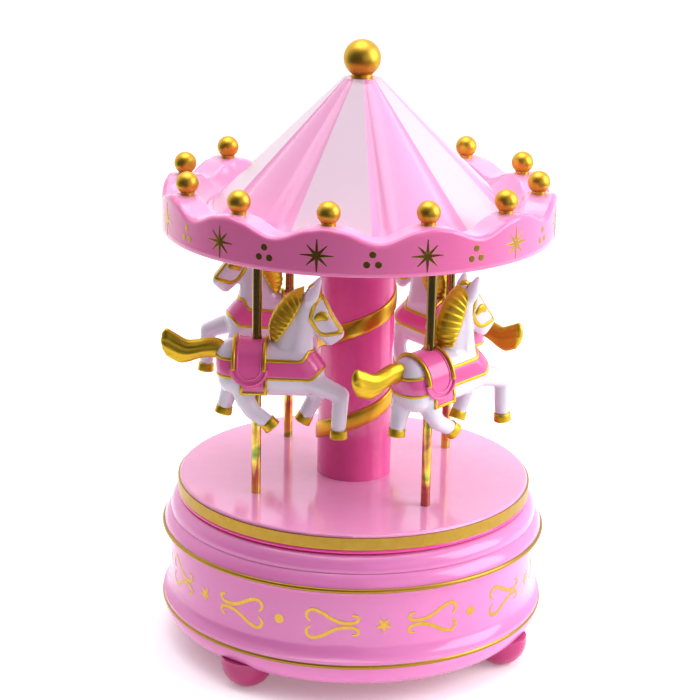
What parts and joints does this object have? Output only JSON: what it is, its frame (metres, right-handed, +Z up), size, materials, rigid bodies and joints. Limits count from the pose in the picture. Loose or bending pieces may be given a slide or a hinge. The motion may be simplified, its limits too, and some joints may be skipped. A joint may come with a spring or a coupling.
{
  "type": "carousel music box",
  "caption": "Wind-up carousel music box: a drum base with a key beneath, and a turning deck with a column, horses on poles and a peaked canopy with a scalloped rim.",
  "frame": {"origin": "centre of the rectangle the part covers on the table, at the level of the feet", "axes": "+Z up along the turning axis, -Y towards the front, +X to the right as seen from the front"},
  "size_m": [0.1146, 0.1146, 0.18],
  "materials": {
    "pink_plastic": "glossy candy-pink moulding",
    "deck_plastic": "glossy pale pink moulding",
    "deep_pink_plastic": "glossy deep pink moulding",
    "white_plastic": "plain pale moulding",
    "foil_gold": "hot-stamped satin gold foil on plastic",
    "plated_gold": "satin metallised gold on plastic",
    "zinc_gold_steel": "polished yellow-gold plated steel rod",
    "horse_plastic": "glossy white moulding with painted gold details",
    "saddle_plastic": "glossy pink with gold edging",
    "steel": "bright turned steel",
    "spring_steel": "blued spring steel",
    "brass": "plain turned and stamped brass"
  },
  "bodies": {
    "base": {"base_shell": "pink_plastic", "upper_trim_ring": "foil_gold", "lower_trim_ring": "foil_gold", "bottom_plate": "deep_pink_plastic", "bottom_screws": "steel", "foot_1": "deep_pink_plastic", "foot_2": "deep_pink_plastic", "foot_3": "deep_pink_plastic", "foot_4": "deep_pink_plastic", "movement_bedplate": "brass", "movement_screws": "steel", "comb": "steel", "movement_bracket": "brass", "shaft_bush": "brass"},
    "turntable": {"deck": "deck_plastic", "deck_rim_band": "foil_gold", "deck_screws": "steel", "centre_column": "deep_pink_plastic", "column_ribbon": "foil_gold", "drive_hub": "brass", "drive_shaft": "steel", "spring_barrel": "brass", "mainspring": "spring_steel", "canopy": "pink_plastic", "canopy_ceiling": "white_plastic", "tie_rod": "steel", "finial_ball": "plated_gold", "rim_ball_1": "plated_gold", "rim_ball_2": "plated_gold", "rim_ball_3": "plated_gold", "rim_ball_4": "plated_gold", "rim_ball_5": "plated_gold", "rim_ball_6": "plated_gold", "rim_ball_7": "plated_gold", "rim_ball_8": "plated_gold", "rim_ball_9": "plated_gold", "rim_ball_10": "plated_gold", "rim_ball_11": "plated_gold", "rim_ball_12": "plated_gold", "pole_1": "zinc_gold_steel", "pole_2": "zinc_gold_steel", "pole_3": "zinc_gold_steel", "pole_4": "zinc_gold_steel"},
    "winding_key": {"winding_key": "steel", "key_arbor": "steel"},
    "cylinder": {"cylinder_arbor": "steel", "music_cylinder": "brass", "cylinder_gear": "brass"},
    "governor": {"governor_arbor": "steel", "governor_fan": "brass"},
    "horse_1": {"horse_1": "horse_plastic", "saddle_1": "saddle_plastic"},
    "horse_2": {"horse_2": "horse_plastic", "saddle_2": "saddle_plastic"},
    "horse_3": {"horse_3": "horse_plastic", "saddle_3": "saddle_plastic"},
    "horse_4": {"horse_4": "horse_plastic", "saddle_4": "saddle_plastic"}
  },
  "joints": [
    {"name": "turntable_spin", "type": "hinge", "parent": "base", "child": "turntable", "pos_m": [0, 0, 0.0452], "axis": [0, 0, 1], "continuous": true},
    {"name": "key_wind", "type": "hinge", "parent": "base", "child": "winding_key", "pos_m": [0, 0, 0.0137], "axis": [0, 0, 1], "range_deg": [0, 1440]},
    {"name": "cylinder_spin", "type": "hinge", "parent": "base", "child": "cylinder", "pos_m": [0.0275, 0, 0.03126], "axis": [1, 0, 0], "continuous": true},
    {"name": "governor_spin", "type": "hinge", "parent": "base", "child": "governor", "pos_m": [0.035, -0.012, 0.03126], "axis": [1, 0, 0], "continuous": true},
    {"name": "horse_1_swivel", "type": "hinge", "parent": "turntable", "child": "horse_1", "pos_m": [-0.0282, -0.02073, 0.089], "axis": [0, 0, 1], "range_deg": [-100, 10]},
    {"name": "horse_2_swivel", "type": "hinge", "parent": "turntable", "child": "horse_2", "pos_m": [0.02073, -0.0282, 0.089], "axis": [0, 0, 1], "range_deg": [-35, 40]},
    {"name": "horse_3_swivel", "type": "hinge", "parent": "turntable", "child": "horse_3", "pos_m": [0.0282, 0.02073, 0.089], "axis": [0, 0, 1], "range_deg": [-60, 4]},
    {"name": "horse_4_swivel", "type": "hinge", "parent": "turntable", "child": "horse_4", "pos_m": [-0.02073, 0.0282, 0.089], "axis": [0, 0, 1], "range_deg": [-32, 4]}
  ],
  "couplings": [
    {"joint": "cylinder_spin", "follows": "turntable_spin", "ratio": 4},
    {"joint": "governor_spin", "follows": "turntable_spin", "ratio": -16}
  ]
}
